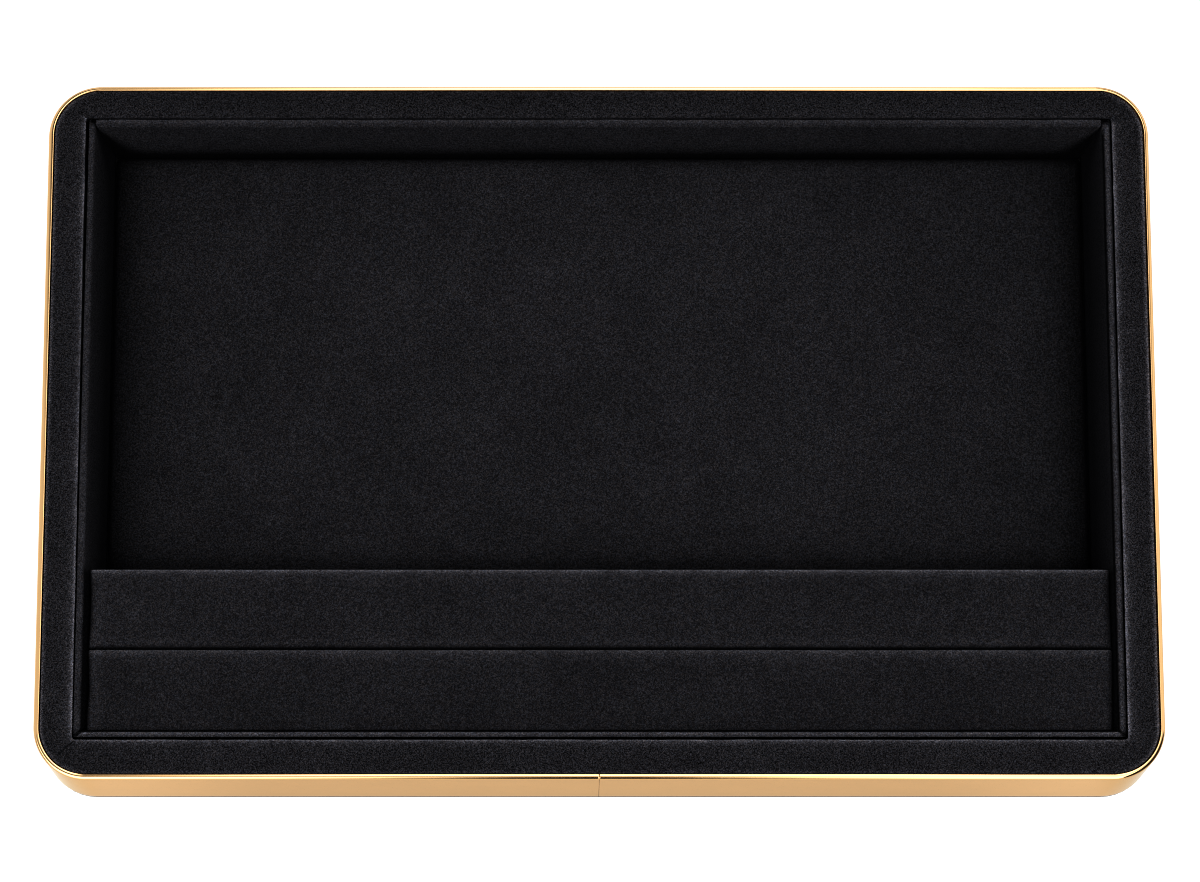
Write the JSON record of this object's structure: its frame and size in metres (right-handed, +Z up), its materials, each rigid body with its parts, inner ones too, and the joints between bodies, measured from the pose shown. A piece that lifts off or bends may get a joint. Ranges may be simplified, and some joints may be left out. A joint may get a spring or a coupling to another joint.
{
  "type": "jewellery display tray",
  "caption": "Low rectangular display tray with a polished metal band, padded suede rim, sunk lined well and a lift-out pair of ring pads with a slit for rings.",
  "frame": {"origin": "middle of the underside, on the surface that the tray stands on", "axes": "+Z up, +X to the right along the long side, +Y from the ring pads to the back"},
  "size_m": [0.35, 0.223, 0.038],
  "materials": {
    "gold_metal": "polished",
    "zinc_steel": "satin",
    "black_suede": "matte",
    "black_felt": "matte",
    "black_board": "matte",
    "black_card": "matte",
    "fibreboard": "matte",
    "grey_card": "matte",
    "foam": "matte"
  },
  "bodies": {
    "tray": {"metal_band": "gold_metal", "band_joint_plate": "zinc_steel", "base_felt": "black_felt", "base_board": "black_board", "front_rail": "fibreboard", "back_rail": "fibreboard", "left_rail": "fibreboard", "right_rail": "fibreboard", "base_screw_01": "zinc_steel", "base_screw_02": "zinc_steel", "base_screw_03": "zinc_steel", "base_screw_04": "zinc_steel", "base_screw_05": "zinc_steel", "base_screw_06": "zinc_steel", "base_screw_07": "zinc_steel", "base_screw_08": "zinc_steel", "base_screw_09": "zinc_steel", "base_screw_10": "zinc_steel", "rim_foam": "foam", "rim_cover": "black_suede", "front_wall_board": "grey_card", "front_wall_cover": "black_suede", "back_wall_board": "grey_card", "back_wall_cover": "black_suede", "left_wall_board": "grey_card", "left_wall_cover": "black_suede", "right_wall_board": "grey_card", "right_wall_cover": "black_suede", "floor_batten_left": "fibreboard", "floor_batten_centre": "fibreboard", "floor_batten_right": "fibreboard", "floor_board": "fibreboard", "floor_foam": "foam", "floor_cover": "black_suede"},
    "ring_insert": {"insert_board": "black_card", "rear_pad_foam": "foam", "rear_pad_cover": "black_suede", "front_pad_foam": "foam", "front_pad_cover": "black_suede"}
  },
  "joints": [
    {"name": "lift_out", "type": "slide", "parent": "tray", "child": "ring_insert", "axis": [0, 0, 1], "range_m": [0, 0.05]}
  ]
}
